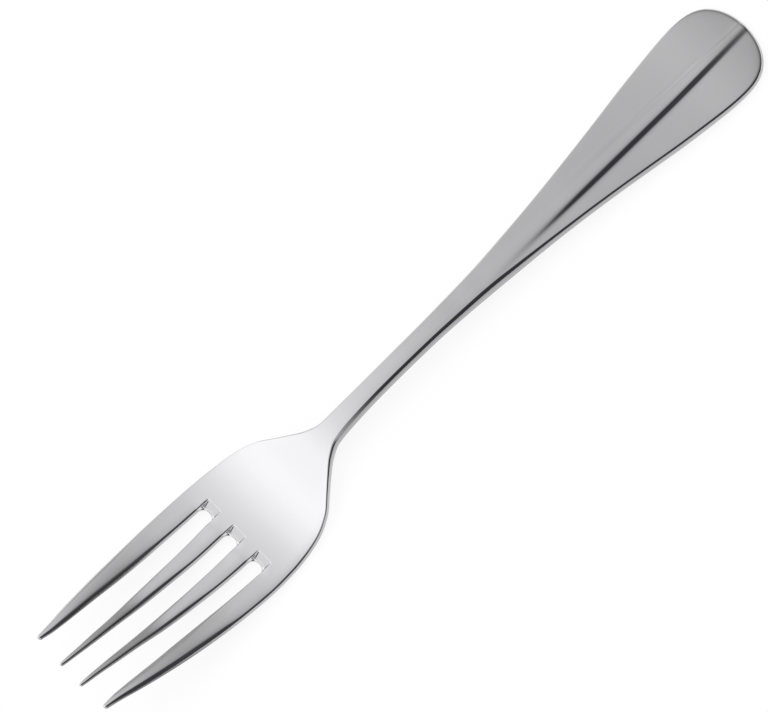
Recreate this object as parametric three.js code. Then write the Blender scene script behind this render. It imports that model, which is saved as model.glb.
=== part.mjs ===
// Table fork: one piece of stainless steel.
// X runs along the fork with the tine tips at -X and the handle at +X, Y across it and Z up.
// The origin is on the table, under the middle of the fork. The underside of the palm and of the handle's end
// rest on Z = 0.
import * as THREE from 'three';

// Lengths along the fork, in millimetres
const overallLength = 200;
const tineLength = 44.7;
const slotCornerLength = 1.7;
const slotRampLength = 2.1;
const slotRootLength = 3.5;
const innerTipLength = 0.5;
const outerTipLength = 0.6;
const outerTipSetback = 0.5;
const roundEndLength = 20;

// Widths across the fork
const headWidth = 30.3;
const neckWidth = 4.78;
const handleWidth = 21.5;

// Heights of the underside over the table
const tipRise = 15.5;
const neckRise = 5.42;
const restFlatDepth = 0.2;

// Thicknesses of the steel
const tipThickness = 1.1;
const tineThickness = 2;
const slotRootThickness = 2.4;
const palmThickness = 2.2;
const neckThickness = 3.3;
const shoulderThickness = 3.9;
const handleThickness = 2.9;
const handleEndThickness = 1.9;

// Rounded edges of the upper and lower face: how far in from the outline they reach
const tipRounding = 0.36;
const tineTopRounding = 0.85;
const palmTopRounding = 0.4;
const neckTopRounding = 1;
const handleTopRounding = 0.55;
const tineUnderRounding = 0.6;
const palmUnderRounding = 0.5;
const neckUnderRounding = 0.9;
const handleUnderRounding = 0.5;
const topRoundingDepthShare = 0.4;
const underRoundingDepthShare = 0.25;

// How far the inner tines lie under the outer ones
const innerTineDip = 0.65;

// How far a tine's upper face falls from its middle to its edges
const tineCrown = 0.35;

// Raised rib along the middle of the handle's upper face
const ribHeight = 0.42;
const ribWidth = 4;

// Shape of the ends, as powers of a round curve
const roundEndPower = 3.6;
const slotEndPower = 2.3;
const ribPower = 3.5;
const slotRampDepthShare = 0.6;

// Half outline: share of the overall length, then share of half the head's, neck's or handle's width
const headOutlineShares = [
  [0, 0.733], [0.022, 0.776], [0.041, 0.823], [0.073, 0.887], [0.105, 0.936], [0.137, 0.969],
  [0.169, 0.989], [0.21, 1], [0.2435, 0.982], [0.26, 0.959], [0.286, 0.896], [0.3125, 0.75],
  [0.3285, 0.586], [0.3445, 0.42], [0.3605, 0.272],
];
const neckOutlineShares = [
  [0.3765, 1.19], [0.4, 1.075], [0.455, 1], [0.52, 1.04], [0.565, 1.17], [0.605, 1.33],
];
const handleOutlineShares = [
  [0.65, 0.364], [0.69, 0.437], [0.7325, 0.53], [0.775, 0.636], [0.818, 0.757], [0.86, 0.88],
  [0.905, 0.99], [0.95, 1.093], [1, 1.26],
];

// Tines: share of the overall length, then the inner tine's two edges and the outer tine's inner edge
// as shares of half the head's width
const tineEdgeShares = [
  [0, 0.188, 0.2276, 0.677], [0.006, 0.1785, 0.238, 0.664], [0.022, 0.17, 0.2495, 0.641],
  [0.041, 0.1626, 0.2687, 0.637], [0.073, 0.156, 0.298, 0.638], [0.105, 0.1453, 0.3378, 0.634],
  [0.137, 0.139, 0.3623, 0.64], [0.17, 0.1334, 0.3816, 0.655], [0.21, 0.1267, 0.4054, 0.6616],
];

// Underside: share of the overall length, then shares of the rise to the tips and of the rise to the neck
const tipRiseShares = [
  [0, 1], [0.04, 0.805], [0.073, 0.639], [0.105, 0.48], [0.137, 0.3275], [0.17, 0.19], [0.2, 0.0965],
  [0.22, 0.051], [0.2335, 0.0275], [0.244, 0.0125], [0.262, 0], [0.3, 0],
];
const neckRiseShares = [
  [0.22, 0], [0.262, 0], [0.2815, 0.028], [0.2975, 0.103], [0.3125, 0.227], [0.33, 0.401], [0.345, 0.557],
  [0.36, 0.694], [0.375, 0.802], [0.3935, 0.9], [0.415, 0.965], [0.4375, 0.993], [0.4575, 1], [0.485, 0.985],
  [0.52, 0.931], [0.56, 0.836], [0.5825, 0.7236], [0.605, 0.6092], [0.635, 0.5534], [0.665, 0.5318],
  [0.695, 0.5179], [0.725, 0.48], [0.775, 0.3665], [0.84, 0.1986], [0.87, 0.134], [0.905, 0.09],
  [0.945, 0.07], [0.975, 0.049], [1, 0.02],
];

// Sizes that change along the fork: share of the overall length, then the size there
const thicknesses = [
  [0, tipThickness], [0.105, tineThickness], [0.17, slotRootThickness], [0.23, palmThickness],
  [0.28, palmThickness], [0.39, neckThickness], [0.56, neckThickness], [0.605, shoulderThickness],
  [0.725, handleThickness], [0.84, handleThickness], [1, handleEndThickness],
];
const topRoundings = [
  [0, tipRounding], [0.045, tineTopRounding], [0.1, tineTopRounding], [0.165, palmTopRounding],
  [0.3, palmTopRounding], [0.4, neckTopRounding], [0.6, neckTopRounding], [0.8, handleTopRounding],
  [1, handleTopRounding],
];
const underRoundings = [
  [0, tipRounding], [0.1, tineUnderRounding], [0.2, palmUnderRounding], [0.3, palmUnderRounding],
  [0.38, neckUnderRounding], [0.6, neckUnderRounding], [0.75, handleUnderRounding], [1, handleUnderRounding],
];

// Share of the overall length, then share of a tine's crown, of the inner tines' dip, of the rib's height
// and of the rib's width
const tineCrownShares = [[0, 0.3], [0.04, 0.7], [0.08, 1], [0.135, 1], [0.17, 0.6], [0.2, 0.18], [0.215, 0]];
const innerTineDipShares = [
  [0, 0.3], [0.04, 0.65], [0.07, 0.9], [0.1, 1], [0.132, 0.7], [0.165, 0.28], [0.19, 0],
];
const ribHeightShares = [
  [0, 0], [0.6, 0], [0.648, 0.19], [0.69, 0.3], [0.733, 0.57], [0.765, 0.85], [0.82, 1], [0.875, 0.97],
  [0.94, 0.8], [1, 0.52],
];
const ribWidthShares = [[0, 1], [0.75, 1], [0.875, 0.94], [0.94, 0.75], [1, 0.5]];

// Divisions of the surface
const tineColumnShares = [-1, -0.85, -0.5, 0, 0.5, 0.85, 1];
const slotColumnShares = [-1, -0.7, 0, 0.7, 1];
const tipSteps = 6;
const tineRows = 16;
const rootRows = 3;
const bodyRows = 38;
const endSteps = 16;
const pointGrain = 0.0001;
const edgeShareGrain = 0.0001;

// Smooth curve through the rows of a table, with no bulge between them
function curve(table, station, column = 1) {
  const xs = table.map((row) => row[0] * overallLength);
  const ys = table.map((row) => row[column]);
  const last = xs.length - 1;
  const slopes = ys.slice(1).map((y, k) => (y - ys[k]) / (xs[k + 1] - xs[k]));
  const tangent = (k) => {
    if (k === 0) return slopes[0];
    if (k === last) return slopes[last - 1];
    if (slopes[k - 1] * slopes[k] <= 0) return 0;
    const before = xs[k] - xs[k - 1];
    const after = xs[k + 1] - xs[k];
    return (3 * (before + after)) / ((before + 2 * after) / slopes[k - 1] + (2 * before + after) / slopes[k]);
  };
  const x = Math.min(Math.max(station, xs[0]), xs[last]);
  const k = Math.min(xs.filter((edge) => edge <= x).length, last) - 1;
  const width = xs[k + 1] - xs[k];
  const t = (x - xs[k]) / width;
  const ease = t * t * (3 - 2 * t);
  const bend = t * (1 - t) * ((1 - t) * tangent(k) - t * tangent(k + 1));
  return ys[k] * (1 - ease) + ys[k + 1] * ease + width * bend;
}

function scaled(shares, size) {
  return shares.map(([place, share]) => [place, share * size]);
}

const outline = [
  ...scaled(headOutlineShares, headWidth / 2),
  ...scaled(neckOutlineShares, neckWidth / 2),
  ...scaled(handleOutlineShares, handleWidth / 2),
];
const roundEndStart = overallLength - roundEndLength;
const slotShoulder = tineLength - slotCornerLength;
const bodyStart = tineLength + slotRootLength;

// Half the width of the fork at a station
function halfWidth(station) {
  const u = Math.min(Math.max((station - roundEndStart) / roundEndLength, 0), 1);
  return curve(outline, station) * Math.sqrt(1 - u ** roundEndPower);
}

// The inner and outer edge of one tine, measured from the middle plane
function tineEdges(isOuter, station) {
  const place = Math.min(station, slotShoulder);
  const grown = station > slotShoulder ? halfWidth(station) / halfWidth(slotShoulder) : 1;
  const near = (headWidth / 2) * curve(tineEdgeShares, place, isOuter ? 3 : 1);
  const far = isOuter ? halfWidth(place) : (headWidth / 2) * curve(tineEdgeShares, place, 2);
  return [near * grown, far * grown];
}

// Plan of the fork as points [station, across] and triangles. Points that fall together are one point.
const points = [];
const known = new Map();
const triangles = [];

function snapped(value) {
  return Math.round(value / pointGrain) * pointGrain;
}

function pointIndex([station, across]) {
  const key = `${Math.round(station / pointGrain)} ${Math.round(across / pointGrain)}`;
  if (!known.has(key)) {
    known.set(key, points.length);
    points.push([snapped(station), snapped(across)]);
  }
  return known.get(key);
}

function addTriangle(a, b, c) {
  const [p, q, r] = [points[a], points[b], points[c]];
  const area = (q[0] - p[0]) * (r[1] - p[1]) - (q[1] - p[1]) * (r[0] - p[0]);
  if (a === b || b === c || a === c || area === 0) return;
  triangles.push(area > 0 ? [a, b, c] : [a, c, b]);
}

function addPatch(rows, columns, place) {
  const at = (i, j) => pointIndex(place(i, j));
  for (let i = 0; i < rows; i++) {
    for (let j = 0; j < columns; j++) {
      addTriangle(at(i, j), at(i + 1, j), at(i + 1, j + 1));
      addTriangle(at(i, j), at(i + 1, j + 1), at(i, j + 1));
    }
  }
}

const tineColumns = tineColumnShares.length - 1;
const slotColumns = slotColumnShares.length - 1;
const bodyColumns = [];

for (const side of [-1, 1]) {
  for (const isOuter of [false, true]) {
    const tip = isOuter ? outerTipSetback + outerTipLength : innerTipLength;
    const tipLength = isOuter ? outerTipLength : innerTipLength;
    const across = (station, share) => {
      const [near, far] = tineEdges(isOuter, station);
      return side * ((near + far) / 2 + ((far - near) / 2) * share);
    };
    addPatch(tineRows, tineColumns, (i, j) => {
      const station = tip + ((slotShoulder - tip) * i) / tineRows;
      return [station, across(station, tineColumnShares[j])];
    });
    addPatch(rootRows, tineColumns, (i, j) => {
      const station = slotShoulder + ((bodyStart - slotShoulder) * i) / rootRows;
      return [station, across(station, tineColumnShares[j])];
    });
    // The rounded tip, as shells about its middle
    const shells = tineColumnShares.filter((share) => share >= 0);
    addPatch(tipSteps, shells.length - 1, (i, j) => {
      const angle = (Math.PI * i) / tipSteps;
      const end = i === tipSteps ? 0 : Math.sin(angle);
      return [tip - tipLength * end * shells[j], across(tip, Math.cos(angle) * shells[j])];
    });
    bodyColumns.push(...tineColumnShares.map((share) => across(slotShoulder, share)));
  }
}

// The steel behind each slot, from the slot's rounded end to the palm
const [innerNear, innerFar] = tineEdges(false, slotShoulder);
const outerNear = tineEdges(true, slotShoulder)[0];
const slotEdges = [[-innerNear, innerNear], [innerFar, outerNear], [-outerNear, -innerFar]];
const slots = slotEdges.map(([low, high]) => ({ middle: (low + high) / 2, half: (high - low) / 2 }));
for (const slot of slots) {
  addPatch(rootRows, slotColumns, (i, j) => {
    const share = slotColumnShares[j];
    const round = Math.sqrt(1 - Math.abs(share) ** slotEndPower);
    const end = slotShoulder + slotCornerLength * round;
    const station = end + ((bodyStart - end) * i) / rootRows;
    return [station, ((slot.middle + slot.half * share) * halfWidth(station)) / halfWidth(slotShoulder)];
  });
  bodyColumns.push(...slotColumnShares.map((share) => slot.middle + slot.half * share));
}

// The palm, neck and handle up to the round end
const columnShares = bodyColumns
  .sort((a, b) => a - b)
  .filter((across, k) => k === 0 || across - bodyColumns[k - 1] > pointGrain)
  .map((across) => across / halfWidth(slotShoulder));
addPatch(bodyRows, columnShares.length - 1, (i, j) => {
  const station = bodyStart + ((roundEndStart - bodyStart) * i) / bodyRows;
  return [station, halfWidth(station) * columnShares[j]];
});

// The round end of the handle, as shells about its middle
const endShares = columnShares.filter((share) => share >= 0);
addPatch(endSteps, endShares.length - 1, (i, j) => {
  const angle = Math.PI * (i / endSteps - 1 / 2);
  const turn = i === 0 || i === endSteps ? 0 : Math.cos(angle);
  const station = roundEndStart + roundEndLength * turn;
  const edge = i * 2 === endSteps ? 0 : Math.sign(angle) * halfWidth(station);
  return [roundEndStart + roundEndLength * turn * endShares[j], edge * endShares[j]];
});

// Edges used by one triangle only make the outline
const edgeUse = new Map();
for (const [a, b, c] of triangles) {
  for (const [from, to] of [[a, b], [b, c], [c, a]]) {
    const key = `${Math.min(from, to)} ${Math.max(from, to)}`;
    edgeUse.set(key, edgeUse.has(key) ? null : [from, to]);
  }
}
const rim = [...edgeUse.values()].filter((edge) => edge);

// Distance from a plan point to the outline
function toOutline([s, y]) {
  let nearest = overallLength;
  for (const [from, to] of rim) {
    const [s0, y0] = points[from];
    const along = [points[to][0] - s0, points[to][1] - y0];
    const square = along[0] ** 2 + along[1] ** 2;
    const t = Math.min(Math.max(((s - s0) * along[0] + (y - y0) * along[1]) / square, 0), 1);
    nearest = Math.min(nearest, Math.hypot(s - s0 - t * along[0], y - y0 - t * along[1]));
  }
  return nearest;
}

// How far a face falls at a distance from the outline, as a quarter of an ellipse
function edgeDrop(distance, reach, depth) {
  const t = Math.max(1 - distance / reach, 0);
  return depth * (1 - Math.sqrt(1 - t * t));
}

// The slot's end slopes down into the slot over the width of the slot
function slotRamp([s, y], thickness) {
  if (s <= slotShoulder) return 0;
  const fall = Math.min(Math.max(1 - (s - tineLength) / slotRampLength, 0), 1);
  const inside = slots.some((slot) => Math.abs(y - slot.middle) < slot.half);
  return inside ? slotRampDepthShare * thickness * fall : 0;
}

// A tine's upper face is highest along its middle
function crownDrop([s, y]) {
  for (const isOuter of [false, true]) {
    const [near, far] = tineEdges(isOuter, s);
    const share = (2 * Math.abs(y) - near - far) / (far - near);
    if (Math.abs(share) < 1 + edgeShareGrain) return tineCrown * curve(tineCrownShares, s) * share ** 2;
  }
  return 0;
}

function heights(point) {
  const [s, y] = point;
  const distance = toOutline(point);
  const thickness = curve(thicknesses, s);
  const rise = tipRise * curve(tipRiseShares, s) + neckRise * curve(neckRiseShares, s);
  const isInner = Math.abs(y) < (tineEdges(false, s)[1] + tineEdges(true, s)[0]) / 2;
  const underside = rise - restFlatDepth - (isInner ? innerTineDip * curve(innerTineDipShares, s) : 0);
  const topReach = curve(topRoundings, s);
  const topDepth = Math.min(topReach, topRoundingDepthShare * thickness);
  const underReach = curve(underRoundings, s);
  const underDepth = Math.min(underReach, underRoundingDepthShare * thickness);
  const ribPlace = (2 * Math.abs(y)) / (ribWidth * curve(ribWidthShares, s));
  const rib = ribHeight * curve(ribHeightShares, s) * Math.exp(-(ribPlace ** ribPower));
  const drop = Math.max(edgeDrop(distance, topReach, topDepth), slotRamp(point, thickness));
  const top = underside + thickness + rib - crownDrop(point) - drop;
  const under = Math.max(underside + edgeDrop(distance, underReach, underDepth), 0);
  return [top, under];
}

// Upper face, lower face and the wall between them
const lifted = points.map(heights);
const place = (k, face) => [points[k][0] - overallLength / 2, points[k][1], lifted[k][face]];
const keys = [...points.keys()];
const positions = [...keys.map((k) => place(k, 0)), ...keys.map((k) => place(k, 1))];
const count = points.length;
const index = [];
for (const [a, b, c] of triangles) {
  index.push(a, b, c);
  index.push(a + count, c + count, b + count);
}
for (const [from, to] of rim) {
  index.push(to, from, from + count);
  index.push(to, from + count, to + count);
}
const geometry = new THREE.BufferGeometry();
geometry.setAttribute('position', new THREE.Float32BufferAttribute(positions.flat(), 3));
geometry.setIndex(index);
geometry.computeVertexNormals();

const steel = new THREE.MeshStandardMaterial({ color: 0xb9bbbd, metalness: 1, roughness: 0.22 });
const fork = new THREE.Mesh(geometry, steel);
fork.name = 'fork';

const group = new THREE.Group();
group.name = 'table_fork';
group.add(fork);
export default group;
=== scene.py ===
# Looks of the table fork: one polished stainless steel piece on a plain pale table under soft studio light.
# Lengths are metres. X runs from the tines to the handle, Y across the fork and Z up from the table.
import math

import bpy
import numpy as np
from mathutils import Matrix, Vector


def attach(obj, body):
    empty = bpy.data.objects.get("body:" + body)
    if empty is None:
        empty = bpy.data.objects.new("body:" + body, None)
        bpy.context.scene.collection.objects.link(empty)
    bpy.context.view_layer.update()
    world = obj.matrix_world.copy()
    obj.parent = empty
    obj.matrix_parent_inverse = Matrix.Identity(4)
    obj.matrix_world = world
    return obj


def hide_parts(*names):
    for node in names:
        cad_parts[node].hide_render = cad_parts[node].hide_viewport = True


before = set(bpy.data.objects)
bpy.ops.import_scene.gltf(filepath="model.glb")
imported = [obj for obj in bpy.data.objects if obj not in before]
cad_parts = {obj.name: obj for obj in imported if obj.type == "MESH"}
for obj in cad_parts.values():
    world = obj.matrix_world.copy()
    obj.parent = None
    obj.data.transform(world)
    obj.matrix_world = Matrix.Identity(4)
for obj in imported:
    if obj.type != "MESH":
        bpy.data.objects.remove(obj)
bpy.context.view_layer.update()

bl_info = {
    "name": "Table fork",
    "version": (1, 0, 0),
    "blender": (4, 5, 0),
    "location": "View3D > Sidebar > Fork",
    "description": "Builds a polished stainless steel table fork and a plain studio round it",
    "category": "Add Mesh",
}

MM = 0.001

# Half outline: share of the length, then share of half the head's, neck's or handle's width
HEAD_OUTLINE_SHARES = (
    (0, 0.733), (0.022, 0.776), (0.041, 0.823), (0.073, 0.887), (0.105, 0.936), (0.137, 0.969),
    (0.169, 0.989), (0.21, 1), (0.2435, 0.982), (0.26, 0.959), (0.286, 0.896), (0.3125, 0.75),
    (0.3285, 0.586), (0.3445, 0.42), (0.3605, 0.272),
)
NECK_OUTLINE_SHARES = (
    (0.3765, 1.19), (0.4, 1.075), (0.455, 1), (0.52, 1.04), (0.565, 1.17), (0.605, 1.33),
)
HANDLE_OUTLINE_SHARES = (
    (0.65, 0.364), (0.69, 0.437), (0.7325, 0.53), (0.775, 0.636), (0.818, 0.757), (0.86, 0.88),
    (0.905, 0.99), (0.95, 1.093), (1, 1.26),
)

# Tines: share of the length, then the inner tine's two edges and the outer tine's inner edge as shares of
# half the head's width
TINE_EDGE_SHARES = (
    (0, 0.188, 0.2276, 0.677), (0.006, 0.1785, 0.238, 0.664), (0.022, 0.17, 0.2495, 0.641),
    (0.041, 0.1626, 0.2687, 0.637), (0.073, 0.156, 0.298, 0.638), (0.105, 0.1453, 0.3378, 0.634),
    (0.137, 0.139, 0.3623, 0.64), (0.17, 0.1334, 0.3816, 0.655), (0.21, 0.1267, 0.4054, 0.6616),
)

# Underside: share of the length, then shares of the rise to the tips and of the rise to the neck
TIP_RISE_SHARES = (
    (0, 1), (0.04, 0.805), (0.073, 0.639), (0.105, 0.48), (0.137, 0.3275), (0.17, 0.19), (0.2, 0.0965),
    (0.22, 0.051), (0.2335, 0.0275), (0.244, 0.0125), (0.262, 0), (0.3, 0),
)
NECK_RISE_SHARES = (
    (0.22, 0), (0.262, 0), (0.2815, 0.028), (0.2975, 0.103), (0.3125, 0.227), (0.33, 0.401), (0.345, 0.557),
    (0.36, 0.694), (0.375, 0.802), (0.3935, 0.9), (0.415, 0.965), (0.4375, 0.993), (0.4575, 1),
    (0.485, 0.985), (0.52, 0.931), (0.56, 0.836), (0.5825, 0.7236), (0.605, 0.6092), (0.635, 0.5534),
    (0.665, 0.5318), (0.695, 0.5179), (0.725, 0.48), (0.775, 0.3665), (0.84, 0.1986), (0.87, 0.134),
    (0.905, 0.09), (0.945, 0.07), (0.975, 0.049), (1, 0.02),
)

# Tines: share of the length, then share of the crown's fall, of the inner tines' dip and of their lean
TINE_CROWN_SHARES = ((0, 0.3), (0.04, 0.7), (0.08, 1), (0.135, 1), (0.17, 0.6), (0.2, 0.18), (0.215, 0))
INNER_DIP_SHARES = (
    (0, 0.35), (0.036, 0.59), (0.07, 0.85), (0.1, 1), (0.133, 0.78), (0.165, 0.47), (0.181, 0.31),
    (0.197, 0.14), (0.21, 0.02), (0.2135, 0),
)
INNER_LEAN_SHARES = ((0, 1), (0.165, 1), (0.181, 0.9), (0.197, 0.5), (0.21, 0.1), (0.2135, 0))

# Rib on the handle: share of the length, then share of the rib's height and width
RIB_HEIGHT_SHARES = (
    (0, 0), (0.6, 0), (0.625, 0.2), (0.648, 0.37), (0.69, 0.66), (0.733, 0.87), (0.765, 0.96), (0.82, 1),
    (0.94, 1), (1, 0.85),
)
RIB_WIDTH_SHARES = ((0, 1), (0.75, 1), (0.875, 0.9), (0.94, 0.74), (1, 0.5))

# Edges: share of the length, then how far in from the outline a face is rounded, in millimetres. The
# second table is for the narrow inner tines. The last two are the soft shoulder's reach and its depth.
TOP_ROUNDING_MM = (
    (0, 0.36), (0.045, 0.85), (0.1, 0.85), (0.165, 0.4), (0.2, 0.27), (0.3, 0.28), (0.4, 0.95), (0.52, 0.9),
    (0.6, 1.05), (0.65, 0.85), (0.7, 0.65), (0.8, 0.5), (1, 0.5),
)
INNER_TOP_ROUNDING_MM = (
    (0, 0.3), (0.045, 0.4), (0.07, 0.48), (0.1, 0.58), (0.135, 0.52), (0.165, 0.36), (0.2, 0.27), (1, 0.27),
)
UNDER_ROUNDING_MM = (
    (0, 0.36), (0.1, 0.6), (0.2, 0.5), (0.3, 0.5), (0.38, 0.9), (0.6, 0.9), (0.75, 0.55), (1, 0.5),
)
SOFT_REACH_MM = ((0, 1), (0.23, 2), (0.36, 2.2), (1, 2.2))
SOFT_DEPTH_SHARES = (
    (0, 0), (0.17, 0), (0.21, 0.8), (0.3, 0.6), (0.38, 0.3), (0.43, 0.6), (0.52, 1), (0.6, 0.8),
    (0.68, 0.2), (1, 0.2),
)

# Exponents of the rib's bell, of the handle's round end and of the slots' ends
RIB_POWER = 3.5
ROUND_END_POWER = 3.6
SLOT_END_POWER = 2.3

# Greatest depth of the edge roundings as a share of the thickness, and the inner tines' share of the crown
TOP_DEPTH_SHARE = 0.4
UNDER_DEPTH_SHARE = 0.25
INNER_CROWN_SHARE = 0.6

# Slope at a slot's end: its depth as a share of the thickness, the blend at its far end as a share of its
# length, then where its sides begin outside the slot, their width, power and the share that rounds over
SLOT_RAMP_SHARE = 0.6
SLOT_RAMP_BLEND = 0.02
SLOT_SIDE_START = 0.15 * MM
SLOT_SIDE_WIDTH = 0.6 * MM
SLOT_SIDE_POWER = 2.5
SLOT_SIDE_SHOULDER = 0.4

# Parts of the two roundings that count as near the side wall
WALL_TOP_SHARE = 0.3
WALL_UNDER_SHARE = 0.8

# Divisions of the mesh. Root rows are (row, share of the way from a slot's end to the palm). Points within
# a grain of each other are welded, and the slack keeps a tine's edge points on their tine.
TINE_HALF_COLUMNS = 9
COLUMN_CROWDING = 2.2
TINE_ROW_CROWDING = 1.15
SLOT_COLUMNS = 21
TIP_SHELLS = 21
ROUND_END_SHELLS = 97
ROOT_ROWS = ((0, 0), (20, 0.58), (46, 0.77), (54, 1))
DISTANCE_PARTS = 64
POINT_GRAIN = 2e-8
EDGE_SLACK = 1e-4

# Spread of the blur that smooths the height lines, and its samples per spread
FAIRING = 1.6 * MM
FAIRING_STEPS = 8

# Steel: scales of the noises, the weights of the two brushings, how far hairlines and clouds change the
# roughness and clouds the tone, then X or nearness where the painted shades of neck, tines and walls
# run in or out
HAIRLINE_SCALE = (90, 5200, 5200)
LINE_SCALE = (28, 1500, 1500)
CLOUD_SCALE = 60.0
HAIRLINE_WEIGHT = 0.6
LINE_WEIGHT = 0.4
HAIRLINE_ROUGHNESS = 0.04
CLOUD_ROUGHNESS = 0.03
CLOUD_SHADE = 0.03
NECK_SHADE_IN = (-0.034, -0.021)
NECK_SHADE_OUT = (0.05, 0.1)
TINE_SHADE_IN = (-0.062, -0.085)
WALL_SHADE_IN = (0.1, 0.6)

# Table: half its width, its roughness, how white the camera and reflections see it, and its clouds
TABLE_REACH = 3
TABLE_ROUGHNESS = 0.9
TABLE_WHITENESS = 0.85
TABLE_CLOUD_SCALE = 40.0
TABLE_CLOUD_SHADE = 0.99

# Ceiling light: its ends in X and its line of (Y, Z) corners
CEILING_ENDS = (-0.8, 1.0)
CEILING_LINE = ((-0.75, 0.001), (-0.75, 0.4), (1.2, 0.4), (1.2, 0.001))

# Levels of the ceiling light as (share of a span, level): the glow along X, how far the plain glow hides the
# dark field along X, the field's sharp edge across Y, and the wide edge that takes over between two X
GLOW_SPAN = (-0.8, 0.4)
GLOW_STOPS = (
    (0.0, 0.9), (0.167, 0.93), (0.25, 1.05), (0.317, 1.22), (0.375, 1.31), (0.42, 1.34), (0.508, 1.31),
    (0.583, 1.22), (0.633, 1.09), (0.68, 0.97), (0.708, 0.895), (0.74, 0.8), (0.779, 0.745), (0.795, 0.7),
    (0.82, 0.54), (0.837, 0.47), (0.853, 0.35), (0.883, 0.29), (1.0, 0.28),
)
FIELD_STOPS = ((0.0, 1.0), (0.25, 1.0), (0.33, 0.0), (0.417, 0.0), (0.65, 1.0))
SHARP_SPAN = (-0.06, 0.14)
SHARP_STOPS = ((0.0, 0.0), (0.08, 0.09), (0.15, 0.24), (0.3, 0.56), (0.6, 0.84), (1.0, 1.0))
WIDE_SPAN = (-0.15, 0.6)
WIDE_STOPS = (
    (0.0, 0.15), (0.04, 0.26), (0.147, 0.5), (0.2, 0.62), (0.333, 0.83), (0.413, 0.97), (0.533, 1.1),
    (0.787, 1.32), (1.0, 1.5),
)
WIDE_IN = (0.15, 0.2)
DARK_FIELD = (0.056, 0.054, 0.062)

# Paler low corners of the dark field: X to both sides, Y and Z where they run in, their colour and weight
CORNER_FAR_IN = (0.45, 0.65)
CORNER_NEAR_IN = (-0.35, -0.55)
CORNER_SIDE_IN = (-0.6, -0.74)
CORNER_LOW_IN = (0.4, 0.3)
CORNER_COLOR = (0.8, 0.8, 0.8)
CORNER_WEIGHT = 0.7

# Lamps: name, place, size and power in watts. The fill is the world's level in diffuse light.
LAMPS = (
    ("overhead_softbox", (-0.25, 0.35, 1.5), 1.6, 12),
    ("side_softbox", (0.9, 0.2, 0.9), 0.8, 2),
)
WORLD_FILL = 0.75

# Camera: the photograph's width and shift in pixels, its scale at the aim, the sensor, aim and clipping
PICTURE_WIDTH = 768
PICTURE_SHIFT = (-28.4, -3.9)
PIXELS_PER_METRE = 4673.5
SENSOR_WIDTH = 36
CAMERA_AIM = (0, 0, 0.005)
CAMERA_CLIP = (0.01, 20)


def length(name, default_mm, description):
    """A length property, stored in metres, with its default given in millimetres."""
    return bpy.props.FloatProperty(
        name=name, description=description, default=default_mm * MM, min=0, precision=5,
        subtype="DISTANCE", unit="LENGTH",
    )


def share(name, default, description):
    """A plain factor between nought and one."""
    return bpy.props.FloatProperty(
        name=name, description=description, default=default, min=0, max=1, subtype="FACTOR"
    )


def count(name, default, low, high, description):
    """A whole number of divisions."""
    return bpy.props.IntProperty(name=name, description=description, default=default, min=low, max=high)


def angle(name, default_degrees, description):
    """An angle property, stored in radians, with its default given in degrees."""
    return bpy.props.FloatProperty(
        name=name, description=description, default=math.radians(default_degrees),
        subtype="ANGLE", unit="ROTATION",
    )


def tint(name, default, description):
    """A colour property."""
    return bpy.props.FloatVectorProperty(
        name=name, description=description, default=default, min=0, max=1, size=3, subtype="COLOR"
    )


class ForkSizes(bpy.types.PropertyGroup):
    """Sizes of the fork and divisions of its mesh"""

    overall_length: length("Length", 200, "From the tine tips to the end of the handle")
    tine_length: length("Tine length", 44.7, "From the tine tips to the ends of the slots")
    slot_corner_length: length("Slot corner", 1.7, "Length of the slot's rounded end")
    slot_ramp_length: length("Slot ramp", 2.1, "Length of the slope that runs down into each slot's end")
    slot_root_length: length("Slot root", 3.5, "Steel behind the slots that is divided finely")
    inner_tip_length: length("Inner tip", 0.5, "Length of an inner tine's rounded tip")
    outer_tip_length: length("Outer tip", 0.6, "Length of an outer tine's rounded tip")
    outer_tip_setback: length("Outer setback", 0.5, "How much shorter the outer tines are")
    round_end_length: length("Round end", 20, "Length of the handle's rounded end")
    head_width: length("Head width", 30.28, "Greatest width across the tines and palm")
    neck_width: length("Neck width", 4.78, "Least width of the neck")
    handle_width: length("Handle width", 21.5, "Width of the handle where its round end begins")
    tip_rise: length("Tip rise", 15.5, "Height of the underside at the tine tips")
    neck_rise: length("Neck rise", 5.42, "Height of the underside at the neck")
    rest_flat_depth: length("Rest flat", 0.2, "How deep the flats on the underside are cut")
    tip_thickness: length("Tip thickness", 1.1, "Thickness at the tine tips")
    tine_thickness: length("Tine thickness", 2, "Thickness halfway along the tines")
    slot_root_thickness: length("Slot root thickness", 2.4, "Thickness near the ends of the slots")
    palm_thickness: length("Palm thickness", 2.2, "Thickness of the palm")
    neck_thickness: length("Neck thickness", 3.3, "Thickness of the neck")
    shoulder_thickness: length("Shoulder thickness", 3.9, "Thickness where the neck meets the handle")
    handle_thickness: length("Handle thickness", 2.9, "Thickness of the handle")
    handle_end_thickness: length("End thickness", 1.9, "Thickness at the end of the handle")
    soft_shoulder: length("Soft shoulder", 0.155, "How far the upper face falls softly towards its outline")
    tine_crown: length("Tine crown", 0.35, "How far a tine's face falls from its middle to its edges")
    inner_tine_dip: length("Inner tine dip", 0.85, "How far the inner tines lie under the outer ones")
    inner_tine_lean: length("Inner tine lean", 0.2, "How far the inner tines stand towards -Y")
    rib_height: length("Rib height", 0.42, "Height of the rib on the handle")
    rib_width: length("Rib width", 4, "Width of the rib on the handle")
    body_rows: count("Rows", 230, 20, 260, "Divisions from the palm to the handle's round end")
    tine_rows: count("Tine rows", 60, 8, 90, "Divisions along a tine")


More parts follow.
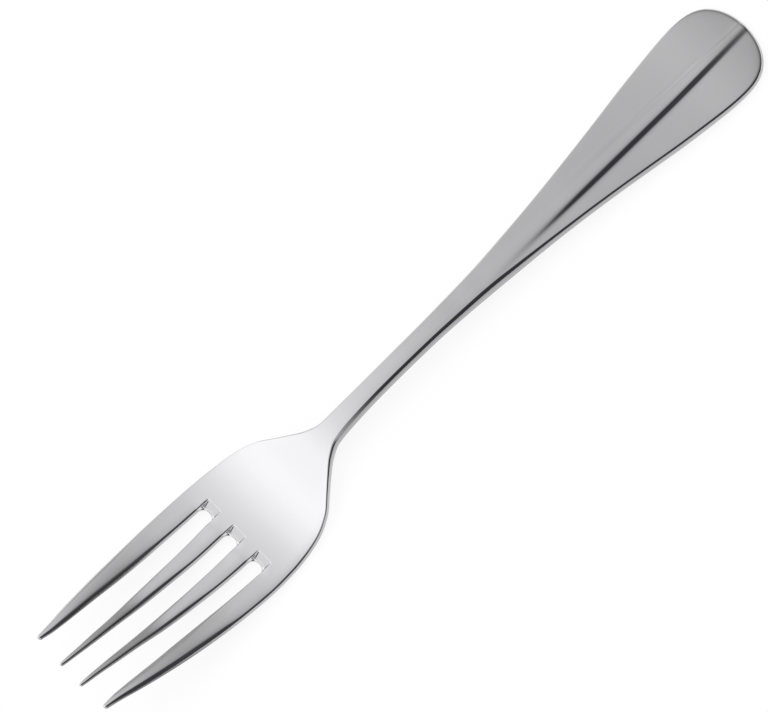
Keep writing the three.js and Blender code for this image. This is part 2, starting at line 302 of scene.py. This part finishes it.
class ForkFinish(bpy.types.PropertyGroup):
    """Finish of the steel with its painted shades, of the table, and the camera's place"""

    steel_color: tint("Steel", (0.708, 0.70, 0.713), "Colour of the polished steel")
    steel_roughness: share("Roughness", 0.08, "Roughness of the polish")
    # Painted shade: darkens the neck's steel colour to stand in for the darker reflections there
    neck_painted_shade: share("Neck shade", 0.2, "How much darker the polish of the neck is than the head's")
    # Painted shade: the side walls' steel colour is darkened to stand in for darker reflections, more on the
    # tines; only their extra roughness is a real finish
    wall_painted_shade: share("Wall shade", 0.32, "How much darker the stamped side walls are than the faces")
    tine_side_painted_shade: share("Tine wall shade", 0.4, "How much darker still the side walls of the tines are")
    wall_roughness: share("Wall roughness", 0.14, "How much rougher the side walls are than the faces")
    brush_depth: length("Brushing", 0.0012, "Depth of the fine lengthwise brushing")
    table_color: tint("Table", (0.9, 0.9, 0.9), "Colour of the table")
    camera_distance: bpy.props.FloatProperty(
        name="Camera distance", description="From the camera to the middle of the fork",
        default=1.4, min=0.3, subtype="DISTANCE", unit="LENGTH",
    )
    camera_lean: angle("Camera lean", 18, "How far the camera leans from straight above towards -Y")
    camera_roll: angle("Camera roll", 45.115, "Angle of the fork in the picture")


def curve(places, values, x):
    """Smooth curve through (place, value) rows: cubic between rows, with tangents of the weighted harmonic
    mean of the slopes on both sides, so that it never bulges past its rows."""
    places, values = np.asarray(places, float), np.asarray(values, float)
    step = np.diff(places)
    slope = np.diff(values) / step
    before, after = step[:-1], step[1:]
    with np.errstate(divide="ignore", invalid="ignore"):
        mean = 3 * (before + after) / ((before + 2 * after) / slope[:-1] + (2 * before + after) / slope[1:])
    tangent = np.concatenate([slope[:1], np.where(slope[:-1] * slope[1:] > 0, mean, 0), slope[-1:]])
    x = np.clip(x, places[0], places[-1])
    k = np.clip(np.searchsorted(places, x, side="right") - 1, 0, len(step) - 1)
    t = (x - places[k]) / step[k]
    ease = t * t * (3 - 2 * t)
    bend = t * (1 - t) * ((1 - t) * tangent[k] - t * tangent[k + 1])
    return values[k] * (1 - ease) + values[k + 1] * ease + step[k] * bend


class ForkShape:
    """The fork's sizes as functions of the station, the distance from the tine tips."""

    def __init__(self, sizes):
        self.z = sizes
        self.long = sizes.overall_length
        self.slot_shoulder = sizes.tine_length - sizes.slot_corner_length
        self.body_start = sizes.tine_length + sizes.slot_root_length
        self.round_end_start = self.long - sizes.round_end_length
        self.outline = [(a, b * sizes.head_width / 2) for a, b in HEAD_OUTLINE_SHARES]
        self.outline += [(a, b * sizes.neck_width / 2) for a, b in NECK_OUTLINE_SHARES]
        self.outline += [(a, b * sizes.handle_width / 2) for a, b in HANDLE_OUTLINE_SHARES]

    def along(self, table, station, column=1):
        """A table's value at each station, where the table's first column is a share of the length."""
        rows = np.array(table, float)
        return curve(rows[:, 0] * self.long, rows[:, column], station)

    def along_mm(self, table, station):
        """The same for a table in millimetres, given in metres."""
        return MM * self.along(table, station)

    def faired(self, heights, station):
        """A height line sampled finely, blurred with a bell curve and read at each station, so that
        reflections run smoothly along the fork."""
        reach = 3 * FAIRING_STEPS
        wide = np.arange(-4 * FAIRING, self.long + 4 * FAIRING, FAIRING / FAIRING_STEPS)
        bell = np.exp(-(np.arange(-reach, reach + 1) ** 2) / (2 * FAIRING_STEPS**2))
        line = np.pad(heights(wide), reach, mode="reflect", reflect_type="odd")
        return np.interp(station, wide, np.convolve(line, bell / bell.sum(), mode="valid"))

    def underside(self, station):
        """Height of the underside's line: the rise to the tips plus the rise to the neck, less the depth of
        the flats."""
        rise = self.z.tip_rise * self.along(TIP_RISE_SHARES, station)
        return rise + self.z.neck_rise * self.along(NECK_RISE_SHARES, station) - self.z.rest_flat_depth

    def half_width(self, station):
        """Half the width: the outline's curve, times a superellipse over the handle's round end."""
        u = np.clip((station - self.round_end_start) / self.z.round_end_length, 0, 1)
        return self.along(self.outline, station) * np.sqrt(1 - u**ROUND_END_POWER)

    def tine_edges(self, outer, station):
        """Near and far edge of a tine. Past the slots both grow with the outline."""
        place = np.minimum(station, self.slot_shoulder)
        grown = self.half_width(station) / self.half_width(self.slot_shoulder)
        grown = np.where(station > self.slot_shoulder, grown, 1)
        half_head = self.z.head_width / 2
        near = half_head * self.along(TINE_EDGE_SHARES, place, 3 if outer else 1)
        far = self.half_width(place) if outer else half_head * self.along(TINE_EDGE_SHARES, place, 2)
        return near * grown, far * grown

    def crown(self, station, across):
        """Fall of the tines' upper faces: nought along each tine's middle, growing with the square of the
        way to its edges, and less on the narrow inner tines."""
        fall = np.zeros_like(station)
        for outer in (False, True):
            near, far = self.tine_edges(outer, station)
            way = (2 * np.abs(across) - near - far) / (far - near)
            greatest = 1 if outer else INNER_CROWN_SHARE
            fall = np.where(np.abs(way) < 1 + EDGE_SLACK, greatest * way**2, fall)
        return self.z.tine_crown * self.along(TINE_CROWN_SHARES, station) * fall

    def on_inner_tine(self, station, across):
        """Whether a place is nearer the middle plane than the gaps between inner and outer tines."""
        return np.abs(across) < (self.tine_edges(False, station)[1] + self.tine_edges(True, station)[0]) / 2

    def inner_dip(self, station, across):
        """How far the inner tines are bent down."""
        dip = self.z.inner_tine_dip * self.along(INNER_DIP_SHARES, station)
        return np.where(self.on_inner_tine(station, across), dip, 0)

    def inner_lean(self, station, across):
        """How far the inner tines stand to the side."""
        lean = self.z.inner_tine_lean * self.along(INNER_LEAN_SHARES, station)
        return np.where(self.on_inner_tine(station, across), lean, 0)

    def thickness(self, station):
        """Thickness of the steel along the fork."""
        z = self.z
        rows = (
            (0, z.tip_thickness), (0.105, z.tine_thickness), (0.17, z.slot_root_thickness),
            (0.23, z.palm_thickness), (0.28, z.palm_thickness), (0.39, z.neck_thickness),
            (0.56, z.neck_thickness), (0.605, z.shoulder_thickness), (0.725, z.handle_thickness),
            (0.84, z.handle_thickness), (1, z.handle_end_thickness),
        )
        return self.along(rows, station)

    def top_rounding(self, station, across):
        """How far in from the outline the upper face is rounded, which is less on the narrow inner tines."""
        on_inner = self.on_inner_tine(station, across) & (station < self.slot_shoulder)
        inner = self.along_mm(INNER_TOP_ROUNDING_MM, station)
        return np.where(on_inner, inner, self.along_mm(TOP_ROUNDING_MM, station))

    def soft_fall(self, station, distance):
        """Fall of the soft shoulder: its depth times the square of the way out to the outline."""
        way = np.clip(1 - distance / self.along_mm(SOFT_REACH_MM, station), 0, 1)
        return self.z.soft_shoulder * self.along(SOFT_DEPTH_SHARES, station) * way**2

    def rib(self, station, across):
        """Height of the rib, a flat-topped bell: e to the minus of twice the distance from the middle over
        the width, raised to a power."""
        place = 2 * np.abs(across) / (self.z.rib_width * self.along(RIB_WIDTH_SHARES, station))
        return self.z.rib_height * self.along(RIB_HEIGHT_SHARES, station) * np.exp(-(place**RIB_POWER))


class Plan:
    """The fork seen from above as points (station, across) and triangles, gathered patch by patch."""

    def __init__(self, shape):
        self.shape = shape
        self.gathered_points = []
        self.gathered_faces = []
        self.count = 0
        t = np.linspace(0, 1, TINE_HALF_COLUMNS)
        self.half_columns = 1 - (1 - t) ** COLUMN_CROWDING
        self.columns = np.concatenate([-self.half_columns[:0:-1], self.half_columns])
        self.root_rows = np.interp(np.arange(ROOT_ROWS[-1][0] + 1), *np.transpose(ROOT_ROWS))
        self.slots = []
        self.body_columns = []
        self.add_tines()
        self.add_slot_roots()
        self.add_body()
        self.weld()

    def patch(self, station, across):
        """Adds a grid of points as triangles, two to a cell."""
        station, across = np.broadcast_arrays(station, across)
        rows, columns = station.shape
        index = self.count + np.arange(rows * columns).reshape(rows, columns)
        self.count += rows * columns
        self.gathered_points.append(np.stack([station.ravel(), across.ravel()], 1))
        a, b, c, d = index[:-1, :-1], index[1:, :-1], index[1:, 1:], index[:-1, 1:]
        self.gathered_faces.append(np.stack([a, b, c, a, c, d], -1).reshape(-1, 3))

    def add_tines(self):
        """Each tine is a grid between its two edges, closed by shells of a half ellipse at the tip."""
        shape, z = self.shape, self.shape.z
        rows = np.linspace(0, 1, z.tine_rows + 1) ** TINE_ROW_CROWDING
        for side in (-1, 1):
            for outer in (False, True):
                tip_length = z.outer_tip_length if outer else z.inner_tip_length
                tip = tip_length + (z.outer_tip_setback if outer else 0)
                root = shape.slot_shoulder + (shape.body_start - shape.slot_shoulder) * self.root_rows[1:]
                station = np.concatenate([tip + (shape.slot_shoulder - tip) * rows, root])[:, None]
                near, far = shape.tine_edges(outer, station)
                self.patch(station, side * ((near + far) / 2 + (far - near) / 2 * self.columns))
                turn = np.linspace(0, np.pi, TIP_SHELLS)[:, None]
                near, far = shape.tine_edges(outer, np.array(tip))
                shells = np.cos(turn) * self.half_columns
                ends = tip - tip_length * np.sin(turn) * self.half_columns
                self.patch(ends, side * ((near + far) / 2 + (far - near) / 2 * shells))
                near, far = shape.tine_edges(outer, np.array(shape.slot_shoulder))
                self.body_columns.append(side * ((near + far) / 2 + (far - near) / 2 * self.columns))

    def add_slot_roots(self):
        """Behind each slot, rows run from its rounded end, a flattened half ellipse, to the palm."""
        shape = self.shape
        start = np.array(shape.slot_shoulder)
        inner_near, inner_far = shape.tine_edges(False, start)
        outer_near = shape.tine_edges(True, start)[0]
        w = np.sin(np.linspace(-np.pi / 2, np.pi / 2, SLOT_COLUMNS))
        for low, high in ((-outer_near, -inner_far), (-inner_near, inner_near), (inner_far, outer_near)):
            middle, half = (low + high) / 2, (high - low) / 2
            self.slots.append((middle, half))
            bow = np.sqrt(np.clip(1 - np.abs(w) ** SLOT_END_POWER, 0, 1))
            end = start + shape.z.slot_corner_length * bow
            station = end + (shape.body_start - end) * self.root_rows[:, None]
            self.patch(station, (middle + half * w) * shape.half_width(station) / shape.half_width(start))
            self.body_columns.append(middle + half * w)

    def add_body(self):
        """Palm, neck and handle as one grid of shares of the half width, then shells of the round end."""
        shape, z = self.shape, self.shape.z
        columns = np.sort(np.concatenate(self.body_columns))
        columns = columns[np.append(True, np.diff(columns) > POINT_GRAIN)]
        columns = columns / shape.half_width(np.array(shape.slot_shoulder))
        station = np.linspace(shape.body_start, shape.round_end_start, z.body_rows + 1)[:, None]
        self.patch(station, shape.half_width(station) * columns)
        turn = np.linspace(-np.pi / 2, np.pi / 2, ROUND_END_SHELLS)
        reach = z.round_end_length * np.cos(turn)
        reach[[0, -1]] = 0
        side = np.sign(np.arange(ROUND_END_SHELLS) - ROUND_END_SHELLS // 2)
        edge = side * shape.half_width(shape.round_end_start + reach)
        shells = columns[columns > -POINT_GRAIN]
        self.patch(shape.round_end_start + reach[:, None] * shells, edge[:, None] * shells)

    def weld(self):
        """Joins points that fall together, turns every triangle the same way and finds the outline."""
        points = np.concatenate(self.gathered_points)
        faces = np.concatenate(self.gathered_faces)
        # Adding nought turns minus nought into nought
        grain = np.round(points / POINT_GRAIN) + 0.0
        _, first, index = np.unique(grain, axis=0, return_index=True, return_inverse=True)
        self.points = points[first]
        faces = index.ravel()[faces]
        a, b, c = (self.points[faces[:, k]] for k in range(3))
        area = (b[:, 0] - a[:, 0]) * (c[:, 1] - a[:, 1]) - (b[:, 1] - a[:, 1]) * (c[:, 0] - a[:, 0])
        distinct = (faces != np.roll(faces, 1, axis=1)).all(1)
        faces, area = faces[distinct], area[distinct]
        faces[area < 0] = faces[area < 0][:, ::-1]
        self.faces = faces
        edges = np.concatenate([faces[:, [0, 1]], faces[:, [1, 2]], faces[:, [2, 0]]])
        _, first, uses = np.unique(np.sort(edges, 1), axis=0, return_index=True, return_counts=True)
        self.rim = edges[first[uses == 1]]

    def to_outline(self):
        """Distance from each point to the nearest edge of the outline."""
        start = self.points[self.rim[:, 0]]
        along = self.points[self.rim[:, 1]] - start
        square = (along**2).sum(1)
        nearest = []
        for part in np.array_split(self.points, DISTANCE_PARTS):
            away = part[:, None] - start
            t = np.clip((away * along).sum(2) / square, 0, 1)
            nearest.append(np.sqrt(((away - t[..., None] * along) ** 2).sum(2)).min(1))
        return np.concatenate(nearest)


def edge_drop(distance, reach, depth):
    """Fall of a face near its outline: a quarter of an ellipse, as wide as reach and as deep as depth."""
    t = np.clip(1 - distance / reach, 0, 1)
    return depth * (1 - np.sqrt(1 - t * t))


def slot_ramp(plan, thickness):
    """The slope at each slot's end: straight along the fork with a short blend at its far end. Its sides
    round over at the slot's edges, drop steeply and level out in a hollow."""
    z = plan.shape.z
    station, across = plan.points.T
    blend = SLOT_RAMP_BLEND
    fall = np.clip(1 - (station - z.tine_length) / z.slot_ramp_length, -blend, 1)
    fall = np.where(fall > blend, fall, (fall + blend) ** 2 / (4 * blend))
    depth = np.zeros_like(station)
    for middle, half in plan.slots:
        side = np.clip((half + SLOT_SIDE_START - np.abs(across - middle)) / SLOT_SIDE_WIDTH, 0, 1)
        shoulder = np.minimum(side / SLOT_SIDE_SHOULDER, 1)
        ease = shoulder**2 * (3 - 2 * shoulder)
        depth = np.maximum(depth, (1 - (1 - side) ** SLOT_SIDE_POWER) * ease * fall)
    return np.where(station > plan.shape.slot_shoulder, SLOT_RAMP_SHARE * thickness * depth, 0)


def fork_surface(sizes):
    """The fork as a plan lifted twice. The underside is a line that rises to the tips and to the neck, cut
    flat at the table. The upper face is that line plus the thickness and the rib, less the soft shoulder,
    the tines' crown and the larger of the edge rounding and the slope at a slot's end. A wall joins the two
    faces along the outline. Returns points, triangles and each point's nearness to the wall."""
    shape = ForkShape(sizes)
    plan = Plan(shape)
    station, across = plan.points.T
    distance = plan.to_outline()
    thickness = shape.faired(shape.thickness, station)
    under = shape.faired(shape.underside, station) - shape.inner_dip(station, across)
    top_reach = shape.top_rounding(station, across)
    under_reach = shape.along_mm(UNDER_ROUNDING_MM, station)
    top_drop = edge_drop(distance, top_reach, np.minimum(top_reach, TOP_DEPTH_SHARE * thickness))
    under_drop = edge_drop(distance, under_reach, np.minimum(under_reach, UNDER_DEPTH_SHARE * thickness))
    top = under + thickness + shape.rib(station, across) - shape.soft_fall(station, distance)
    top -= shape.crown(station, across)
    top -= np.maximum(top_drop, slot_ramp(plan, thickness))
    under = np.maximum(under + under_drop, 0)
    x, y = station - sizes.overall_length / 2, across - shape.inner_lean(station, across)
    points = np.concatenate([np.stack([x, y, top], 1), np.stack([x, y, under], 1)])
    below = len(x)
    start, end = plan.rim.T
    walls = [np.stack([end, start, start + below], 1), np.stack([end, start + below, end + below], 1)]
    faces = np.concatenate([plan.faces, plan.faces[:, ::-1] + below, *walls])
    wall_reach = np.stack([WALL_TOP_SHARE * top_reach, WALL_UNDER_SHARE * under_reach])
    return points, faces, np.clip(1 - distance / wall_reach, 0, 1).ravel()


def add_mesh(name, points, faces, material, smooth=True):
    """A mesh object at the origin with one material."""
    mesh = bpy.data.meshes.new(name)
    mesh.from_pydata(points.tolist(), [], faces.tolist())
    mesh.polygons.foreach_set("use_smooth", np.full(len(mesh.polygons), smooth))
    mesh.materials.append(material)
    mesh.update()
    piece = bpy.data.objects.new(name, mesh)
    bpy.context.scene.collection.objects.link(piece)
    return piece


class Value:
    """A number socket that takes part in Python sums; each operation adds a Math node."""

    def __init__(self, shader, socket):
        self.shader = shader
        self.socket = socket

    def math(self, operation, first, second):
        """Adds a Math node."""
        return self.shader.node("ShaderNodeMath", {"operation": operation}, {0: first, 1: second}).value(0)

    def __add__(self, other):
        return self.math("ADD", self, other)

    def __radd__(self, other):
        return self.math("ADD", other, self)

    def __sub__(self, other):
        return self.math("SUBTRACT", self, other)

    def __rsub__(self, other):
        return self.math("SUBTRACT", other, self)

    def __mul__(self, other):
        return self.math("MULTIPLY", self, other)

    def __rmul__(self, other):
        return self.math("MULTIPLY", other, self)

    def largest(self, other):
        return self.math("MAXIMUM", self, other)


class Made:
    """A node that has been added, with its outputs at hand."""

    def __init__(self, shader, node):
        self.shader = shader
        self.item = node

    def value(self, output):
        """One of its outputs, by name or number."""
        return Value(self.shader, self.item.outputs[output])


class Shader:
    """Builds one node tree."""

    def __init__(self, owner):
        owner.use_nodes = True
        self.tree = owner.node_tree
        self.tree.nodes.clear()

    def node(self, kind, settings=None, sockets=None):
        """Adds a node of a type, with its settings and its sockets' values or links."""
        item = self.tree.nodes.new(kind)
        for key, setting in (settings or {}).items():
            setattr(item, key, setting)
        for key, given in (sockets or {}).items():
            if isinstance(given, Value):
                self.tree.links.new(given.socket, item.inputs[key])
            else:
                item.inputs[key].default_value = given
        return Made(self, item)

    def place(self):
        """Object coordinates."""
        return self.node("ShaderNodeTexCoord").value("Object")

    def axes(self, vector):
        """The three parts of a vector as values."""
        parts = self.node("ShaderNodeSeparateXYZ", sockets={0: vector})
        return [parts.value(k) for k in range(3)]

    def stretched(self, vector, scale):
        """A vector times three plain factors."""
        return self.node("ShaderNodeVectorMath", {"operation": "MULTIPLY"}, {0: vector, 1: scale}).value(0)

    def noise(self, vector, scale, detail, roughness):
        """Noise between nought and one."""
        sockets = {"Vector": vector, "Scale": scale, "Detail": detail, "Roughness": roughness}
        return self.node("ShaderNodeTexNoise", sockets=sockets).value(0)

    def ramp(self, value, low, high):
        """Runs smoothly from nought at low to one at high."""
        settings = {"interpolation_type": "SMOOTHSTEP"}
        return self.node("ShaderNodeMapRange", settings, {0: value, 1: low, 2: high}).value(0)

    def seen(self):
        """One for rays from the camera, in reflections and through clear materials."""
        ray = self.node("ShaderNodeLightPath")
        camera, glossy = ray.value("Is Camera Ray"), ray.value("Is Glossy Ray")
        clear = ray.value("Is Transmission Ray")
        return camera.largest(glossy).largest(clear)

    def greys(self, value, low, high, stops):
        """Greys that run through (share of the way from low to high, level) stops."""
        share_of_way = self.node("ShaderNodeMapRange", sockets={0: value, 1: low, 2: high}).value(0)
        made = self.node("ShaderNodeValToRGB", sockets={0: share_of_way})
        ramp = made.item.color_ramp
        while len(ramp.elements) < len(stops):
            ramp.elements.new(0.5)
        for element, (place, level) in zip(ramp.elements, stops):
            element.position = place
            element.color = (level, level, level, 1)
        return made.value(0)

    def times(self, first, second):
        """Product of two colours."""
        return self.mix("MULTIPLY", 1.0, first, second)

    def blend(self, factor, first, second):
        """Mix of two colours."""
        return self.mix("MIX", factor, first, second)

    def mix(self, blend_type, factor, first, second):
        """A Mix node set to colours: sockets 6 and 7 take its two colours and output 2 gives the new one."""
        settings = {"data_type": "RGBA", "blend_type": blend_type}
        return self.node("ShaderNodeMix", settings, {0: factor, 6: first, 7: second}).value(2)


def color(rgb, gain=1.0):
    """A colour socket's four numbers."""
    return (*(gain * part for part in rgb), 1)


def polished_steel(finish):
    """Polished stainless steel with fine lengthwise brushing and faint clouds, rougher on the side walls,
    with painted shade that darkens the neck and the side walls.
    """
    material = bpy.data.materials.new("polished_steel")
    shader = Shader(material)
    place = shader.place()
    hairlines = shader.noise(shader.stretched(place, HAIRLINE_SCALE), 1.0, detail=3.0, roughness=0.6)
    lines = shader.noise(shader.stretched(place, LINE_SCALE), 1.0, detail=2.0, roughness=0.5)
    cloud = shader.noise(place, CLOUD_SCALE, detail=3.0, roughness=0.55)
    brushing = hairlines * HAIRLINE_WEIGHT + lines * LINE_WEIGHT
    bump = shader.node(
        "ShaderNodeBump", sockets={"Strength": 1.0, "Distance": finish.brush_depth, "Height": brushing}
    ).value(0)
    x, _, _ = shader.axes(place)
    # Painted shade on the neck: a band along X where the steel colour is darkened
    neck = shader.ramp(x, *NECK_SHADE_IN) * (1 - shader.ramp(x, *NECK_SHADE_OUT))
    tines = shader.ramp(x, *TINE_SHADE_IN)
    nearness = shader.node("ShaderNodeAttribute", {"attribute_name": "wall_nearness"}).value("Fac")
    # Near the side walls the steel is rougher and carries painted shade
    wall = shader.ramp(nearness, *WALL_SHADE_IN)
    roughness = finish.steel_roughness + (hairlines - 0.5) * HAIRLINE_ROUGHNESS
    roughness = roughness + (cloud - 0.5) * CLOUD_ROUGHNESS + wall * finish.wall_roughness
    clouded = 1 - CLOUD_SHADE / 2 + cloud * CLOUD_SHADE
    # Painted shade on the side walls, more on the tines, darkens the base colour together with the neck's
    # painted shade; the clouds are the steel's own faint tone
    wall_painted_shade = wall * (finish.wall_painted_shade + tines * finish.tine_side_painted_shade)
    gain = clouded * (1 - neck * finish.neck_painted_shade) * (1 - wall_painted_shade)
    sockets = {
        "Base Color": shader.blend(gain, color((0, 0, 0)), color(finish.steel_color)),
        "Metallic": 1.0,
        "Roughness": roughness,
        "Normal": bump,
    }
    surface = shader.node("ShaderNodeBsdfPrincipled", sockets=sockets).value(0)
    shader.node("ShaderNodeOutputMaterial", sockets={0: surface})
    return material


def plain_table(finish):
    """Pale table: a matte surface that keeps the fork's shadow, whitened for camera and reflections."""
    material = bpy.data.materials.new("pale_table")
    shader = Shader(material)
    cloud = shader.noise(shader.place(), TABLE_CLOUD_SCALE, detail=3.0, roughness=0.6)
    clouded = shader.blend(cloud, color(finish.table_color, TABLE_CLOUD_SHADE), color(finish.table_color))
    sockets = {"Base Color": clouded, "Roughness": TABLE_ROUGHNESS}
    matte = shader.node("ShaderNodeBsdfPrincipled", sockets=sockets).value(0)
    white = shader.node("ShaderNodeEmission", sockets={"Color": color((1, 1, 1)), "Strength": 1.0}).value(0)
    sockets = {0: shader.seen() * TABLE_WHITENESS, 1: matte, 2: white}
    surface = shader.node("ShaderNodeMixShader", sockets=sockets).value(0)
    shader.node("ShaderNodeOutputMaterial", sockets={0: surface})
    return material


def glowing_ceiling():
    """Soft ceiling light that fades towards +X, with a dark field on the -Y side that is paler at its low
    corners."""
    material = bpy.data.materials.new("soft_ceiling")
    shader = Shader(material)
    x, y, z = shader.axes(shader.place())
    glow = shader.greys(x, *GLOW_SPAN, GLOW_STOPS)
    field = shader.greys(x, *GLOW_SPAN, FIELD_STOPS)
    sharp = shader.blend(shader.greys(y, *SHARP_SPAN, SHARP_STOPS), color(DARK_FIELD), glow)
    sharp = shader.blend(field, glow, sharp)
    wide = shader.times(glow, shader.greys(y, *WIDE_SPAN, WIDE_STOPS))
    glow = shader.blend(shader.ramp(x, *WIDE_IN), sharp, wide)
    corner = shader.ramp(x, *CORNER_FAR_IN).largest(shader.ramp(x, *CORNER_NEAR_IN))
    corner = corner * shader.ramp(z, *CORNER_LOW_IN) * shader.ramp(y, *CORNER_SIDE_IN)
    glow = shader.blend(corner * CORNER_WEIGHT, glow, color(CORNER_COLOR))
    surface = shader.node("ShaderNodeEmission", sockets={"Color": glow, "Strength": 1.0}).value(0)
    shader.node("ShaderNodeOutputMaterial", sockets={0: surface})
    return material


def panels(x0, x1, *line):
    """Level or upright panels side by side: a line of (y, z) corners carried from x0 to x1."""
    points = np.array([(x, y, z) for y, z in line for x in (x0, x1)], float)
    corner = 2 * np.arange(len(line) - 1)[:, None]
    return points, corner + np.array([0, 1, 3, 2])


class FORK_OT_build_fork(bpy.types.Operator):
    """Builds the fork as one smooth surface in polished steel"""

    bl_idname = "fork.build_fork"
    bl_label = "Fork"

    def execute(self, context):
        points, faces, wall_nearness = fork_surface(context.scene.fork_sizes)
        piece = add_mesh("polished_fork", points, faces, polished_steel(context.scene.fork_finish))
        attribute = piece.data.attributes.new("wall_nearness", "FLOAT", "POINT")
        attribute.data.foreach_set("value", wall_nearness)
        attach(piece, "root")
        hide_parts("fork")
        return {"FINISHED"}


class FORK_OT_build_stage(bpy.types.Operator):
    """Builds the table, the soft lights, the pale world and the camera"""

    bl_idname = "fork.build_stage"
    bl_label = "Stage"

    def execute(self, context):
        finish = context.scene.fork_finish
        reach = TABLE_REACH
        table_top = panels(-reach, reach, (-reach, 0), (reach, 0))
        table = add_mesh("table", *table_top, plain_table(finish), smooth=False)
        ceiling_card = panels(*CEILING_ENDS, *CEILING_LINE)
        ceiling = add_mesh("soft_ceiling", *ceiling_card, glowing_ceiling(), smooth=False)
        for ray in ("camera", "diffuse", "transmission", "shadow"):
            setattr(ceiling, f"visible_{ray}", False)
        for lamp in LAMPS:
            self.add_lamp(context, *lamp)
        self.add_world(context)
        self.add_camera(context, finish)
        return {"FINISHED"}

    def add_lamp(self, context, name, place, size, power):
        """A square area lamp that faces the fork and stays out of reflections."""
        data = bpy.data.lights.new(name, "AREA")
        data.shape = "SQUARE"
        data.size = size
        data.energy = power
        lamp = bpy.data.objects.new(name, data)
        lamp.location = place
        lamp.rotation_euler = (-Vector(place)).to_track_quat("-Z", "Y").to_euler()
        lamp.visible_glossy = False
        context.scene.collection.objects.link(lamp)

    def add_world(self, context):
        """White for the camera, for reflections and for clear materials, and a soft grey fill otherwise."""
        world = bpy.data.worlds.new("pale_world")
        context.scene.world = world
        shader = Shader(world)
        glow = shader.blend(shader.seen(), color((1, 1, 1), WORLD_FILL), color((1, 1, 1)))
        sky = shader.node("ShaderNodeBackground", sockets={"Color": glow, "Strength": 1.0}).value(0)
        shader.node("ShaderNodeOutputWorld", sockets={0: sky})

    def add_camera(self, context, finish):
        """The camera leans towards -Y and is rolled so that the fork runs up to the right."""
        data = bpy.data.cameras.new("camera")
        data.sensor_width = SENSOR_WIDTH
        data.lens = PIXELS_PER_METRE * finish.camera_distance / PICTURE_WIDTH * SENSOR_WIDTH
        data.shift_x, data.shift_y = (shift / PICTURE_WIDTH for shift in PICTURE_SHIFT)
        data.clip_start, data.clip_end = CAMERA_CLIP
        back = Vector((0, -math.sin(finish.camera_lean), math.cos(finish.camera_lean)))
        over = back.cross(Vector((1, 0, 0)))
        c, s = math.cos(finish.camera_roll), math.sin(finish.camera_roll)
        right = Vector((1, 0, 0)) * c - over * s
        up = Vector((1, 0, 0)) * s + over * c
        camera = bpy.data.objects.new("camera", data)
        turn = Matrix((right, up, back)).transposed().to_4x4()
        place = Vector(CAMERA_AIM) + back * finish.camera_distance
        camera.matrix_world = Matrix.Translation(place) @ turn
        context.scene.collection.objects.link(camera)
        context.scene.camera = camera
        context.scene.view_settings.view_transform = "Standard"


class FORK_PT_panel(bpy.types.Panel):
    """Buttons and settings of the fork and its stage"""

    bl_idname = "FORK_PT_panel"
    bl_label = "Table fork"
    bl_space_type = "VIEW_3D"
    bl_region_type = "UI"
    bl_category = "Fork"

    def draw(self, context):
        for operator in (FORK_OT_build_fork, FORK_OT_build_stage):
            self.layout.operator(operator.bl_idname)
        for group in (context.scene.fork_sizes, context.scene.fork_finish):
            column = self.layout.column()
            for name in group.__annotations__:
                column.prop(group, name)


CLASSES = (ForkSizes, ForkFinish, FORK_OT_build_fork, FORK_OT_build_stage, FORK_PT_panel)


def register():
    """Registers the classes and puts both groups of settings on the scene."""
    for item in CLASSES:
        bpy.utils.register_class(item)
    bpy.types.Scene.fork_sizes = bpy.props.PointerProperty(type=ForkSizes)
    bpy.types.Scene.fork_finish = bpy.props.PointerProperty(type=ForkFinish)


def unregister():
    """Takes the settings and the classes away again."""
    del bpy.types.Scene.fork_finish
    del bpy.types.Scene.fork_sizes
    for item in reversed(CLASSES):
        bpy.utils.unregister_class(item)


def main():
    """Builds the fork and its stage with the default settings."""
    register()
    bpy.ops.fork.build_fork()
    bpy.ops.fork.build_stage()


if __name__ == "__main__":
    main()
